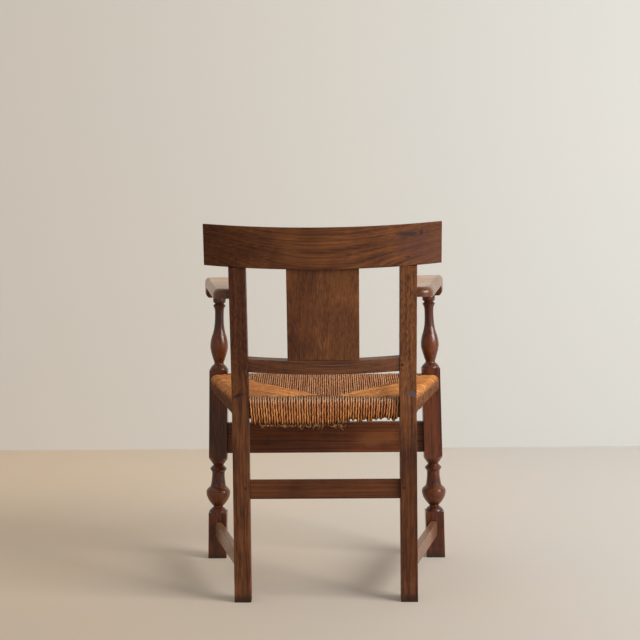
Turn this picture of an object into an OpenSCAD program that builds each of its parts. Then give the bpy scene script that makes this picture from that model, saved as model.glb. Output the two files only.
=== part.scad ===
// Rush seat armchair: an oak frame with turned front legs, a bowed and raked back, rolled arms
// and a woven rush seat. Millimetres. X points to the sitter's left, Y to the back and Z up.
// The origin is on the floor, below the middle of the chair.

/* [Overall] */
// Width over the feet of the front legs
front_width = 597; // [570:1:630]
// Width over the rear posts
back_width = 413; // [390:1:440]
// From the rear faces of the posts to the front faces of the front legs
frame_depth = 449; // [420:1:490]
// Height of the top of the rush over the rails
seat_height = 463; // [440:1:490]
// Height of the top of the arms
arm_height = 709; // [680:1:740]
// Height of the two tips of the crest rail
back_height = 856; // [830:1:900]

/* [Rear posts] */
// Width of a rear post, seen from behind
post_width = 37.5; // [33:0.5:42]
// Depth of a rear post, from front to back
post_depth = 39; // [37:0.5:46]
// How far the back leans from upright, in degrees
rake = 11.3; // [8:0.1:14]
// Height of the bend in the posts above the top of the rush
bend_above_rush = 5; // [2:1:20]

/* [Front legs] */
// Side of the square blocks on a front leg
leg_square = 45.5; // [44:0.5:50]
// How far a front leg leans outwards on its way down, in degrees
leg_splay = 1.17; // [0.6:0.01:2]
// Height of the foot block, up to its shoulder
foot_block_top = 116; // [106:1:125]
// Height of the lower edge of the seat block
seat_block_bottom = 249.5; // [235:0.5:258]
// How far the seat block stands above the rush, up to its shoulder
seat_block_above_rush = 15.5; // [4:0.5:20]
// Radius of the necks beside the blocks
neck_radius = 12.5; // [10:0.5:15]
// Largest radius of the acorn
acorn_radius = 30.2; // [26:0.2:33]
// Radius of the bead over the acorn's stem
bead_radius = 21; // [18:0.5:23]
// Largest radius of the vase
vase_radius = 22.5; // [20:0.1:23]
// Radius of the waist of the vase
waist_radius = 11.1; // [10.6:0.1:13]
// Radius of the collar below the arm
collar_radius = 16.2; // [14:0.2:20]
// Radius of the pin that goes up into the arm
pin_radius = 10; // [7:0.5:10]
// Length of that pin
pin_length = 28; // [18:1:36]

/* [Back] */
// Width of the crest rail, from tip to tip
crest_width = 522; // [490:1:560]
// Height of the crest rail's board
crest_board = 94; // [70:1:104]
// Thickness of the crest rail
crest_thick = 26; // [24:0.5:30]
// Radius to which the crest rail and the lower back rail are bowed
bow_radius = 700; // [640:5:900]
// How far the crest rail stands behind the rear faces of the posts
crest_proud = 2; // [0:0.5:4]
// From the bend of the posts up to the lower back rail
back_rail_rise = 55.5; // [40:0.5:80]
// Height of the lower back rail
back_rail_height = 31; // [24:0.5:40]
// Thickness of the lower back rail
back_rail_thick = 22; // [20:0.5:25]
// Width of the splat
splat_width = 159; // [120:1:190]
// Thickness of the splat
splat_thick = 12; // [9:0.5:13]

/* [Arms] */
// Width of an arm
arm_width = 72; // [64:1:76]
// Thickness of the arm behind the grip
arm_thick = 22; // [18:0.5:26]
// Height of the rolled grip
grip_height = 51; // [46:0.5:56]
// How far the grip reaches in front of the front legs
arm_overhang = 31; // [20:1:45]
// Length of the grip's block behind the roll
grip_block = 52; // [46:1:60]

/* [Apron and stretchers] */
// Height of the apron's upper edge
apron_top = 342; // [335:1:360]
// Height of the apron's board
apron_board = 76.5; // [50:0.5:80]
// Thickness of the apron
apron_thick = 20; // [16:0.5:24]
// Height of the lower edge of the rear stretcher
rear_stretcher_bottom = 233.5; // [200:0.5:280]
// Height of the rear stretcher's board
rear_stretcher_board = 42.5; // [30:0.5:50]
// Thickness of the rear stretcher
rear_stretcher_thick = 17; // [16:0.5:24]
// How far the rear stretcher is set in from the rear faces of the posts
rear_stretcher_inset = 8; // [4:0.5:12]
// Height of the lower edges of the side stretchers
side_stretcher_bottom = 56; // [45:1:62]
// Height of the side stretchers' boards
side_stretcher_board = 36; // [28:0.5:40]
// Thickness of a side stretcher
side_stretcher_thick = 16.5; // [14:0.5:20]
// How far a side stretcher is set inwards on the foot block
side_stretcher_shift = 3.5; // [0:0.5:8]

/* [Seat] */
// Thickness of the four seat rails
seat_rail_thick = 26; // [22:0.5:27]
// Height of the front and rear seat rails
seat_rail_height = 38; // [34:0.5:48]
// Height of the side seat rails
side_rail_height = 30; // [26:0.5:36]
// How much lower the rush hangs at the middles of the front and rear rails than at their ends
rush_belly = 8; // [0:0.5:12]
// How much lower the rush hangs at the rear ends of the sides than at their front ends
rush_hang = 9; // [0:0.5:12]
// Thickness of the rush where it wraps a rail
rush_thick = 6.3; // [5:0.1:7]
// Width of one strand of rush
strand_width = 6.4; // [6.4:0.1:12]
// Depth of the groove between two strands
strand_relief = 1.6; // [1:0.1:2]
// How far the middle of the seat has sagged
seat_sag = 30; // [15:1:34]

/* [Joints] */
// Clearance on each face of a tenon, peg or pin
joint_gap = 0.15; // [0.1:0.05:0.3]
// Thickness of the larger tenons
tenon_thick = 10; // [8:0.5:11]
// Thickness of the tenons of the seat's side rails and the side stretchers
side_tenon_thick = 8; // [6:0.5:9]
// Length of the larger tenons
tenon_length = 22; // [16:0.5:24]
// Diameter of the pegs
peg_diameter = 7; // [5:0.5:8]

/* [Hidden] */

oak = [0.36, 0.20, 0.12];
dark_oak = [0.30, 0.16, 0.10];
peg_oak = [0.20, 0.11, 0.07];
rail_ash = [0.72, 0.58, 0.40];
rush = [0.78, 0.55, 0.28];
rush_grey = [0.66, 0.52, 0.36];

$fn = 64;
far = 1000;

// Rounding of the long edges
arris = 1.5;
crest_round = 4;
ease_steps = 3;
stretcher_round = 3;
seat_rail_round = 6;
arm_round = 14;
grip_round = 14;

// Places across the chair, as distances from its middle plane
post_x = (back_width - post_width) / 2;
post_inner_x = back_width / 2 - post_width;
leg_foot_x = (front_width - leg_square / cos(leg_splay)) / 2;
function leg_x(z) = leg_foot_x - z * tan(leg_splay);
function leg_inner_x(z) = leg_x(z) - leg_square / 2 / cos(leg_splay);

// How far a board bowed to bow_radius falls away at a distance from its middle
function bow(x) = bow_radius - sqrt(pow(bow_radius, 2) - pow(x, 2));
bow_angle = 2 * asin(crest_width / 2 / bow_radius) + 8;

// The back, measured up the rear faces of the posts from the bend, and square to them
bend_z = seat_height + bend_above_rush;
crest_rear = crest_proud + bow(post_x);
crest_front = crest_rear - crest_thick;
crest_tip = crest_rear - bow(crest_width / 2);
crest_top = (back_height - bend_z + crest_tip * sin(rake)) / cos(rake);
crest_bottom = crest_top - crest_board;
splat_reveal = 0.4;
splat_front = crest_front + splat_reveal;
back_rail_cover = 4.7;
back_rail_rear = splat_front + splat_thick + back_rail_cover;
back_rail_top = back_rail_rise + back_rail_height;

// The overall reach to the front and back of the posts' rear faces, which centres the chair
back_reach = crest_top * sin(rake) + crest_rear * cos(rake);
front_reach = frame_depth + arm_overhang;
rear_y = (front_reach - back_reach) / 2;
leg_y = rear_y - frame_depth + leg_square / 2;
leg_rear_y = leg_y + leg_square / 2;
post_front_y = rear_y - post_depth;
function post_front_at(z) = rear_y + (z - bend_z) * tan(rake) - post_depth / cos(rake);

// Seat rails and the rush around them
rail_top = seat_height - rush_thick;
seat_rail_z = rail_top - seat_rail_height / 2;
side_rail_z = rail_top - side_rail_height / 2;
front_rail_forward = 6;
front_rail_y = leg_y - front_rail_forward;
rear_rail_inset = 12;
rear_rail_y = rear_y - rear_rail_inset - seat_rail_thick / 2;
side_rail_front_x = leg_x(side_rail_z);

// Heights of the front leg
seat_block_top = seat_height + seat_block_above_rush;
arm_underside = arm_height - arm_thick;
grip_step = 2;
leg_top = arm_height - grip_height + grip_step;

// Tenons
tenon_shoulder = 4;
splat_tenon_thick = 7;
splat_tenon_length = 13;
post_tenon_length = 34;
post_tenon_width = 26;
side_tenon_length = 18;
side_tenon_rear_length = 14;
rear_rail_tenon_back = 6;
arm_tenon_length = 18;
arm_tenon_width = 26;
arm_tenon_thick = 10;

// Pegs: how far each kind stands in from the end of the tenon's shoulder
peg_proud = 0.3;
peg_length = 28;
crest_peg_rise = 20;
back_rail_peg_in = 5.5;
stretcher_peg_in = 9;
stretcher_peg_up = 5;

// Builds the children for the side given by sign, +1 for the left and -1 for the right
module on_side(sign) {
    mirror([sign < 0 ? 1 : 0, 0, 0]) children();
}

// Frame of the raked back: its origin is at the bend, Z runs up the posts and Y points back
module raked() {
    translate([0, rear_y, bend_z]) rotate([-rake, 0, 0]) children();
}

// A rectangle with round corners, centred
module rounded(w, h, r) {
    square([w - 2 * r, h], center = true);
    square([w, h - 2 * r], center = true);
    for (x = [-1, 1], y = [-1, 1])
        translate([x * (w / 2 - r), y * (h / 2 - r)]) circle(r);
}

// A box centred on its length, grown on every face by gap
module block(size, gap = 0) {
    cube([size[0] + 2 * gap, size[1] + 2 * gap, size[2] + 2 * gap], center = true);
}

// A board bowed round the Z axis, standing on the plane Z = 0, with its long edges eased
module bowed_board(thick, height, r) {
    rotate([0, 0, 90 - bow_angle / 2])
        rotate_extrude(angle = bow_angle, $fn = 360)
            translate([bow_radius - thick / 2, height / 2]) polygon([
                for (c = [[1, 1], [-1, 1], [-1, -1], [1, -1]])
                    let (at = [c[0] * (thick / 2 - r), c[1] * (height / 2 - r)])
                    for (k = c[0] * c[1] > 0 ? [0 : ease_steps] : [ease_steps : -1 : 0])
                        at + r * [c[0] * cos(90 * k / ease_steps), c[1] * sin(90 * k / ease_steps)]
            ]);
}

// A straight rail along X between the planes at -x and x
module cross_rail(x, y, z, thick, height, r) {
    translate([-x, y, z]) rotate([90, 0, 90]) linear_extrude(2 * x) rounded(thick, height, r);
}

// A rail from the front leg's rear face to the post's front face, on the left side
module side_rail(front_x, rear_x, z, thick, height, r) {
    run = post_front_y - leg_rear_y;
    turn = atan((front_x - rear_x) / run);
    intersection() {
        translate([rear_x, post_front_y, z]) rotate([90, 0, turn])
            translate([0, 0, -thick]) linear_extrude(run / cos(turn) + 2 * thick)
                rounded(thick * cos(turn), height, r);
        translate([0, (post_front_y + leg_rear_y) / 2, z]) cube([far, run, far], center = true);
    }
}

// Tenons and pins, each drawn once and cut with joint_gap from the piece that takes it

module post_tenon(gap = 0) {
    raked() translate([post_x, crest_proud - crest_thick / 2, crest_bottom])
        block([post_tenon_width, tenon_thick, 2 * post_tenon_length], gap);
}

module back_rail_tenon(gap = 0) {
    raked() translate([post_inner_x, back_rail_rear - bow(post_inner_x) - back_rail_thick / 2,
                       back_rail_rise + back_rail_height / 2])
        block([2 * tenon_length, tenon_thick, back_rail_height - 2 * tenon_shoulder], gap);
}

module splat_tenons(gap = 0) {
    for (z = [back_rail_top, crest_bottom])
        raked() translate([0, splat_front + splat_thick / 2, z])
            block([splat_width - 4 * tenon_shoulder, splat_tenon_thick, 2 * splat_tenon_length], gap);
}

module apron_tenon(gap = 0) {
    z = apron_top - apron_board / 2;
    translate([leg_inner_x(z), leg_y, z])
        block([2 * tenon_length, tenon_thick, apron_board - 4 * tenon_shoulder], gap);
}

module rear_stretcher_tenon(gap = 0) {
    translate([post_inner_x, rear_y - rear_stretcher_inset - rear_stretcher_thick / 2,
               rear_stretcher_bottom + rear_stretcher_board / 2])
        block([2 * tenon_length, tenon_thick, rear_stretcher_board - 2 * tenon_shoulder], gap);
}

module side_stretcher_tenons(gap = 0) {
    z = side_stretcher_bottom + side_stretcher_board / 2;
    tall = side_stretcher_board - 2 * tenon_shoulder;
    translate([leg_x(z) - side_stretcher_shift, leg_rear_y, z])
        block([side_tenon_thick, 2 * side_tenon_length, tall], gap);
    translate([post_x, post_front_y, z])
        block([side_tenon_thick, 2 * side_tenon_length, tall], gap);
}

module front_rail_tenon(gap = 0) {
    translate([leg_inner_x(seat_rail_z), front_rail_y, seat_rail_z])
        block([2 * tenon_length, tenon_thick, seat_rail_height - 3 * tenon_shoulder], gap);
}

module rear_rail_tenon(gap = 0) {
    translate([post_inner_x, rear_rail_y + rear_rail_tenon_back, seat_rail_z])
        block([2 * tenon_length, side_tenon_thick, seat_rail_height - 3 * tenon_shoulder], gap);
}

module seat_side_tenons(gap = 0) {
    tall = side_rail_height - 3 * tenon_shoulder;
    translate([side_rail_front_x, leg_rear_y, side_rail_z])
        block([side_tenon_thick, 2 * side_tenon_length, tall], gap);
    translate([post_x, post_front_y, side_rail_z])
        block([side_tenon_thick, 2 * side_tenon_rear_length, tall], gap);
}

module arm_tenon(gap = 0) {
    z = arm_height - arm_thick / 2;
    translate([post_x, post_front_at(z), z])
        block([arm_tenon_width, 2 * arm_tenon_length, arm_tenon_thick], gap);
}

module leg_pin(gap = 0) {
    in_leg() translate([0, 0, leg_top - pin_length])
        cylinder(r = pin_radius + gap, h = 2 * pin_length + gap);
}

// Pegs, left side
module crest_peg(gap = 0) {
    raked() intersection() {
        translate([post_x, crest_proud + tenon_shoulder, crest_bottom + crest_peg_rise])
            rotate([90, 0, 0]) cylinder(d = peg_diameter + 2 * gap, h = crest_thick + gap);
        translate([0, crest_rear - bow_radius, crest_bottom])
            cylinder(r = bow_radius + peg_proud + gap, h = crest_board, $fn = 360);
    }
}

module back_rail_peg(gap = 0) {
    raked() translate([post_inner_x + back_rail_peg_in, peg_proud,
                       back_rail_rise + back_rail_height / 2])
        rotate([90, 0, 0]) cylinder(d = peg_diameter + 2 * gap, h = peg_length + gap);
}

module stretcher_peg(gap = 0) {
    translate([post_inner_x + stretcher_peg_in, rear_y + peg_proud,
               rear_stretcher_bottom + rear_stretcher_board / 2 + stretcher_peg_up])
        rotate([90, 0, 0]) cylinder(d = peg_diameter + 2 * gap, h = peg_length + gap);
}

// Rear post: a straight lower length and a raked upper length that meet at the bend
module post_length(length) {
    linear_extrude(length) rounded(post_width, post_depth, arris);
}

module rear_post(sign) {
    overlap = post_depth;
    color(oak) on_side(sign) difference() {
        union() {
            intersection() {
                translate([post_x, rear_y - post_depth / 2, 0]) post_length(bend_z + overlap);
                translate([0, rear_y, bend_z]) rotate([-rake / 2, 0, 0])
                    translate([0, 0, -far / 2]) cube(far, center = true);
            }
            intersection() {
                raked() translate([post_x, -post_depth / 2, -overlap])
                    post_length(crest_bottom + overlap);
                translate([0, rear_y, bend_z]) rotate([-rake / 2, 0, 0])
                    translate([0, 0, far / 2]) cube(far, center = true);
            }
            intersection() {
                post_tenon();
                raked() translate([0, 0, crest_bottom]) cube([far, far, 2 * post_tenon_length], center = true);
            }
        }
        back_rail_tenon(joint_gap);
        rear_stretcher_tenon(joint_gap);
        side_stretcher_tenons(joint_gap);
        rear_rail_tenon(joint_gap);
        seat_side_tenons(joint_gap);
        arm_tenon(joint_gap);
        crest_peg(joint_gap);
        back_rail_peg(joint_gap);
        stretcher_peg(joint_gap);
    }
}

// Turned profiles. A profile is a list of stations [height, radius, curve, power], where curve
// says how the outline leaves the station below it: "fall" leaves it flat and steepens,
// "rise" arrives flat, and "line" runs straight.
function eased(t, curve, power) =
    curve == "fall" ? pow(t, power) :
    curve == "rise" ? 1 - pow(1 - t, power) : t;

steps = 7;
function turned(stations) = [
    for (i = [1 : len(stations) - 1])
        let (a = stations[i - 1], b = stations[i], n = b[2] == "line" ? 1 : steps)
        for (k = [(i == 1 ? 0 : 1) : n])
            [a[1] + (b[1] - a[1]) * eased(k / n, b[2], b[3]), a[0] + (b[0] - a[0]) * k / n]
];

// Heights and radii along the lower turning: neck, acorn, flared stem, bead and neck
foot_neck_radius = 12;
foot_shoulder = 11.5;
neck_height = 14;
acorn_height = 36;
acorn_shoulder = 12.5;
acorn_rim = 3.4;
rim_groove = 1.2;
stem_radius = 15.8;
stem_top_radius = 19.4;
corner = leg_square * 0.75;
block_slope = 1;
shoulder_ledge = 0.8;
block_taper = 14.5;
seat_shoulder = 12.5;

function lower_turning() =
    let (
        z0 = foot_block_top,
        z1 = z0 + neck_height,
        z2 = z1 + acorn_height,
        z3 = z2 + acorn_shoulder,
        z9 = seat_block_bottom,
        z8 = z9 - block_taper,
        z7 = z8 - 9.7,
        z6 = z7 - 11
    ) [
        [z0 + foot_shoulder, foot_neck_radius, "line", 1],
        [z1, foot_neck_radius, "line", 1],
        [z2, acorn_radius, "rise", 2],
        [z2 + acorn_rim, acorn_radius - 0.6, "fall", 2],
        [z2 + acorn_rim + 0.4, acorn_radius - 0.6 - rim_groove, "line", 1],
        [z2 + acorn_rim + 1.2, acorn_radius - 0.4 - rim_groove, "line", 1],
        [z3, acorn_radius - 9, "fall", 1.6],
        [z3, stem_top_radius + 1.2, "line", 1],
        [z3 + 2.5, stem_top_radius + 1, "line", 1],
        [z3 + 3, stem_top_radius, "line", 1],
        [z6, stem_radius, "rise", 1.8],
        [z6 + 4, stem_radius + 0.8, "line", 1],
        [z7, bead_radius, "rise", 1.3],
        [z8, neck_radius, "fall", 1.2]
    ];

// Heights and radii along the upper turning: neck, vase, long waist, ring and collar
function upper_turning() =
    let (
        z0 = seat_block_top + seat_shoulder,
        z9 = leg_top,
        z5 = z9 - 33,
        tall = z5 - z0,
        z2 = z0 + 0.32 * tall,
        z3 = z0 + 0.57 * tall,
        z4 = z0 + 0.95 * tall
    ) [
        [z0, neck_radius, "line", 1],
        [z0 + 4, neck_radius - 0.5, "rise", 2],
        [z0 + 9, neck_radius + 1.2, "line", 1],
        [z2, vase_radius, "rise", 1.35],
        [z3, waist_radius + 0.43 * (vase_radius - waist_radius), "fall", 2],
        [z4, waist_radius, "rise", 3],
        [z5, waist_radius + 0.4, "fall", 2],
        [z9 - 21.5, collar_radius - 0.4, "fall", 1.8],
        [z9 - 20.5, collar_radius - 0.4, "line", 1],
        [z9 - 16.5, waist_radius + 0.7, "line", 1],
        [z9 - 15, waist_radius + 0.7, "line", 1],
        [z9 - 11, collar_radius - 0.5, "rise", 2],
        [z9 - 6, collar_radius, "line", 1],
        [z9 + 1, collar_radius - 1, "fall", 2]
    ];

// The front leg's own frame: its axis is Z, and it leans outwards on its way down
module in_leg() {
    translate([leg_foot_x, leg_y, 0]) rotate([0, -leg_splay, 0]) children();
}

module turned_length(profile) {
    first = profile[0];
    last = profile[len(profile) - 1];
    rotate_extrude() polygon(concat([[0, first[1]]], profile, [[0, last[1]]]));
}

// A square block whose ends are turned down to shoulders: a profile of [radius, height] trims it
module turned_block(profile) {
    first = profile[0];
    last = profile[len(profile) - 1];
    intersection() {
        translate([0, 0, first[1]]) linear_extrude(last[1] - first[1])
            rounded(leg_square, leg_square, arris);
        rotate_extrude() polygon(concat([[0, first[1]]], profile, [[0, last[1]]]));
    }
}

// Domed shoulder on the flat end of a block, up to a neck, as points [radius, height]
function dome(z, height, neck) = [
    for (k = [0 : steps])
        let (base = leg_square / 2 - shoulder_ledge)
        [base + (neck - base) * pow(k / steps, 1.7), z + height * k / steps]
];

module front_leg(sign) {
    half = leg_square / 2;
    bevel = corner - half;
    color(oak) on_side(sign) difference() {
        union() {
            difference() {
                in_leg() union() {
                    turned_block(concat(
                        [[corner, -2], [corner, foot_block_top - block_slope], [half, foot_block_top]],
                        dome(foot_block_top, foot_shoulder, foot_neck_radius)
                    ));
                    turned_length(turned(lower_turning()));
                    turned_block(concat(
                        [[neck_radius, seat_block_bottom - block_taper], [half, seat_block_bottom]],
                        [[corner, seat_block_bottom + bevel], [corner, seat_block_top - block_slope]],
                        [[half, seat_block_top]],
                        dome(seat_block_top, seat_shoulder, neck_radius)
                    ));
                    turned_length(turned(upper_turning()));
                }
                translate([0, 0, leg_top + far / 2]) cube(far, center = true);
            }
            leg_pin();
        }
        translate([0, 0, -far / 2]) cube(far, center = true);
        apron_tenon(joint_gap);
        side_stretcher_tenons(joint_gap);
        front_rail_tenon(joint_gap);
        seat_side_tenons(joint_gap);
    }
}

// Crest rail: a bowed board, cut square at its tips, with its top edge planed level from back to front
module crest_rail() {
    spare = crest_thick / 2;
    dish = bow(crest_width / 2) * sin(rake);
    dish_radius = (pow(crest_width / 2, 2) + pow(dish, 2)) / 2 / dish;
    color(dark_oak) difference() {
        raked() intersection() {
            translate([0, crest_rear - bow_radius, crest_bottom])
                bowed_board(crest_thick, crest_board + spare, crest_round);
            cube([crest_width, far, far], center = true);
        }
        translate([0, rear_y, back_height - dish + dish_radius]) rotate([90, 0, 0])
            cylinder(r = dish_radius, h = far, center = true, $fn = 720);
        splat_tenons(joint_gap);
        for (sign = [-1, 1]) on_side(sign) {
            post_tenon(joint_gap);
            crest_peg(joint_gap);
        }
    }
}

module lower_back_rail() {
    color(oak) difference() {
        union() {
            raked() intersection() {
                translate([0, back_rail_rear - bow_radius, back_rail_rise])
                    bowed_board(back_rail_thick, back_rail_height, arris);
                cube([2 * post_inner_x, far, far], center = true);
            }
            for (sign = [-1, 1]) on_side(sign) back_rail_tenon();
        }
        splat_tenons(joint_gap);
        for (sign = [-1, 1]) on_side(sign) back_rail_peg(joint_gap);
    }
}

module back_splat() {
    color(dark_oak) union() {
        raked() translate([0, splat_front + splat_thick / 2, back_rail_top])
            linear_extrude(crest_bottom - back_rail_top) rounded(splat_width, splat_thick, arris);
        splat_tenons();
    }
}

// Arm. Its own frame starts where its middle line meets the post, and Y runs back along that line.
arm_out = 19;
arm_in = 2;
arm_start_y = post_front_at(arm_height - arm_thick / 2);
arm_turn = atan((leg_x(leg_top) - arm_in - post_x - arm_out) / (arm_start_y - leg_y));
grip_corner = 14;
arm_reach = arm_start_y - leg_y + leg_square / 2 + arm_overhang;
arm_front = (grip_corner + (arm_width / 2 - grip_corner) * sin(arm_turn) - arm_reach) / cos(arm_turn)
    - grip_corner;
quarter_before_post = 8;
quarter_y = -quarter_before_post - arm_width / 2;

module in_arm() {
    translate([post_x + arm_out, arm_start_y, 0]) rotate([0, 0, arm_turn]) children();
}

// Side view of the arm: a thin board, the rolled grip, and a cove from one to the other
module arm_side_view() {
    roll = grip_height / 2;
    cove = grip_height - grip_step - arm_thick;
    cove_y = arm_front + roll + grip_block + cove / 2;
    union() {
        translate([arm_front + roll, arm_underside]) square([far, arm_thick]);
        translate([arm_front + roll, arm_height - roll]) circle(roll, $fn = 96);
        difference() {
            translate([arm_front + roll, leg_top]) square([cove_y - arm_front - roll, grip_height - grip_step]);
            translate([cove_y, leg_top]) circle(cove, $fn = 96);
        }
    }
}

// Plan of the arm without its quarter round: round corners at the grip, and a strip to the post
module arm_plan() {
    half = arm_width / 2;
    translate([-half, arm_front + grip_corner])
        square([arm_width, quarter_y - arm_front - grip_corner]);
    translate([-half + grip_corner, arm_front]) square([arm_width - 2 * grip_corner, grip_corner]);
    for (x = [-1, 1]) translate([x * (half - grip_corner), arm_front + grip_corner]) circle(grip_corner);
    translate([-half, quarter_y]) square([half, far / 4]);
}

// End view of the arm at the grip: small round corners above and larger ones below
module arm_section() {
    half = arm_width / 2;
    low = arm_height - grip_height;
    translate([-half, low + grip_round])
        square([arm_width, grip_height - grip_round - arm_round]);
    translate([grip_round - half, low]) square([arm_width - 2 * grip_round, grip_height]);
    translate([arm_round - half, low + grip_round])
        square([arm_width - 2 * arm_round, grip_height - grip_round]);
    for (x = [-1, 1]) {
        translate([x * (half - grip_round), low + grip_round]) circle(grip_round);
        translate([x * (half - arm_round), arm_height - arm_round]) circle(arm_round);
    }
}

// The arm's board before its side view is cut, with the quarter round that ends it beside the post
module arm_board() {
    intersection() {
        linear_extrude(far) arm_plan();
        translate([0, far, 0]) rotate([90, 0, 0]) linear_extrude(2 * far) arm_section();
    }
    translate([0, quarter_y, 0]) rotate_extrude(angle = 90, $fn = 96) intersection() {
        arm_section();
        square(far);
    }
}

module arm(sign) {
    color(oak) on_side(sign) difference() {
        union() {
            difference() {
                in_arm() intersection() {
                    rotate([90, 0, 90]) translate([0, 0, -far / 2]) linear_extrude(far) arm_side_view();
                    arm_board();
                }
                raked() translate([0, far / 2 - post_depth, 0]) cube(far, center = true);
            }
            arm_tenon();
        }
        leg_pin(joint_gap);
    }
}

// A board between the front legs, its ends cut to the legs' splayed inner faces
module between_legs(y, z, thick, height, r) {
    low = z - height / 2;
    high = z + height / 2;
    intersection() {
        cross_rail(leg_foot_x, y, z, thick, height, r);
        translate([0, y + thick, 0]) rotate([90, 0, 0]) linear_extrude(2 * thick)
            polygon([
                [-leg_inner_x(low), low], [leg_inner_x(low), low],
                [leg_inner_x(high), high], [-leg_inner_x(high), high]
            ]);
    }
}

module front_apron() {
    color(dark_oak) union() {
        between_legs(leg_y, apron_top - apron_board / 2, apron_thick, apron_board, arris);
        for (sign = [-1, 1]) on_side(sign) apron_tenon();
    }
}

module rear_stretcher() {
    color(dark_oak) difference() {
        union() {
            cross_rail(post_inner_x, rear_y - rear_stretcher_inset - rear_stretcher_thick / 2,
                       rear_stretcher_bottom + rear_stretcher_board / 2,
                       rear_stretcher_thick, rear_stretcher_board, stretcher_round);
            for (sign = [-1, 1]) on_side(sign) rear_stretcher_tenon();
        }
        for (sign = [-1, 1]) on_side(sign) stretcher_peg(joint_gap);
    }
}

module side_stretcher(sign) {
    z = side_stretcher_bottom + side_stretcher_board / 2;
    color(oak) on_side(sign) union() {
        side_rail(leg_x(z) - side_stretcher_shift, post_x, z,
                  side_stretcher_thick, side_stretcher_board, arris);
        side_stretcher_tenons();
    }
}

module seat_rail_front() {
    color(rail_ash) union() {
        between_legs(front_rail_y, seat_rail_z, seat_rail_thick, seat_rail_height, seat_rail_round);
        for (sign = [-1, 1]) on_side(sign) front_rail_tenon();
    }
}

module seat_rail_rear() {
    color(rail_ash) union() {
        cross_rail(post_inner_x, rear_rail_y, seat_rail_z, seat_rail_thick, seat_rail_height,
                   seat_rail_round);
        for (sign = [-1, 1]) on_side(sign) rear_rail_tenon();
    }
}

module seat_side_rail(sign) {
    color(rail_ash) on_side(sign) union() {
        side_rail(side_rail_front_x, post_x, side_rail_z, seat_rail_thick, side_rail_height,
                  seat_rail_round);
        seat_side_tenons();
    }
}

// The rush. Four woven fields wrap the four rails and meet at seams, which run from the inner
// corners of the seat to its middle. A field is a row of strands. Each strand is a loop of points
// [out, z], where out is the distance from the middle of the seat towards the rail.
weave_clear = 0.3;
wrap_radius = 13;
seam_front = [leg_inner_x(seat_height) - weave_clear, leg_rear_y + weave_clear];
seam_rear = [post_inner_x - weave_clear, post_front_y - weave_clear];
middle_y = seam_rear[1] - seam_rear[0];
half_seam = 0.15;
underside_sag = 6;

// Depth of the sag along a seam, from 0 at the corner to 1 at the middle
function sagged(d) = d * (1.25 - 0.25 * d);

// One strand: seam, over the rail, round its outer face, and back to the seam below
function strand(seam, outer, d, height, dip, hang = 0) =
    let (
        top = seat_height - dip,
        bottom = rail_top - height - rush_thick + dip - hang,
        out = outer - dip,
        shelf = max(outer - seat_rail_thick - 1.5 * rush_thick, (seam + outer - wrap_radius) / 2),
        lean = wrap_radius * (1 - sin(45))
    ) [
        [seam, top - seat_sag * sagged(d)],
        [shelf, top - 1],
        [out - wrap_radius, top],
        [out - lean, top - lean],
        [out, top - wrap_radius],
        [out, bottom + wrap_radius],
        [out - lean, bottom + lean],
        [out - wrap_radius, bottom],
        [seam, bottom - underside_sag * sagged(d)]
    ];

// The tunnel that the rail fills, as points [out, z]
function tunnel(outer, height) =
    let (
        c = seat_rail_round / 2,
        a = outer - rush_thick - seat_rail_thick - weave_clear,
        b = outer - rush_thick + weave_clear,
        low = rail_top - height - weave_clear,
        high = rail_top + weave_clear
    ) [
        [a + c, high], [b - c, high], [b, high - c], [b, low + c],
        [b - c, low], [a + c, low], [a, low + c], [a, high - c]
    ];

// Ring of triangles between a strand's loop and the tunnel at one end of a field. loop_at and
// tunnel_at are the first point numbers, and each pair of counts says where the ring has got to.
ring_walk = [
    [0, 7], [1, 7], [1, 0], [2, 0], [2, 1], [3, 1], [3, 2], [4, 2], [4, 3],
    [5, 3], [6, 3], [6, 4], [7, 4], [7, 5], [8, 5], [8, 6], [0, 6]
];
function ring(loop_at, tunnel_at, flip) = [
    for (i = [0 : len(ring_walk) - 1])
        let (
            a = ring_walk[i],
            b = ring_walk[(i + 1) % len(ring_walk)],
            face = a[0] != b[0]
                ? [loop_at + a[0], loop_at + b[0], tunnel_at + a[1]]
                : [loop_at + a[0], tunnel_at + b[1], tunnel_at + a[1]]
        )
        flip ? [face[2], face[1], face[0]] : face
];

// A field from its list of strands and the tunnels at its two ends, as points [x, y, z]
module field(strands, first_tunnel, last_tunnel) {
    n = len(strands);
    m = len(strands[0]);
    k = len(first_tunnel);
    first_at = n * m;
    last_at = first_at + k;
    polyhedron(
        points = concat([for (s = strands) each s], first_tunnel, last_tunnel),
        faces = concat(
            [for (i = [0 : n - 2], j = [0 : m - 1])
                let (a = i * m + j, b = i * m + (j + 1) % m)
                each [[a, b, b + m], [a, b + m, a + m]]],
            [for (j = [0 : k - 1])
                let (a = first_at + j, b = first_at + (j + 1) % k)
                each [[a, b + k, b], [a, a + k, b + k]]],
            ring(0, first_at, true),
            ring((n - 1) * m, last_at, false)
        )
    );
}

// Positions of the grooves and crests of the strands between two places
function spread(from, to) =
    let (count = max(2, floor(abs(to - from) / strand_width)))
    [for (i = [0 : 2 * count]) from + (to - from) * i / (2 * count)];
function dip_at(i) = i % 2 == 0 ? strand_relief : 0;

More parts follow.
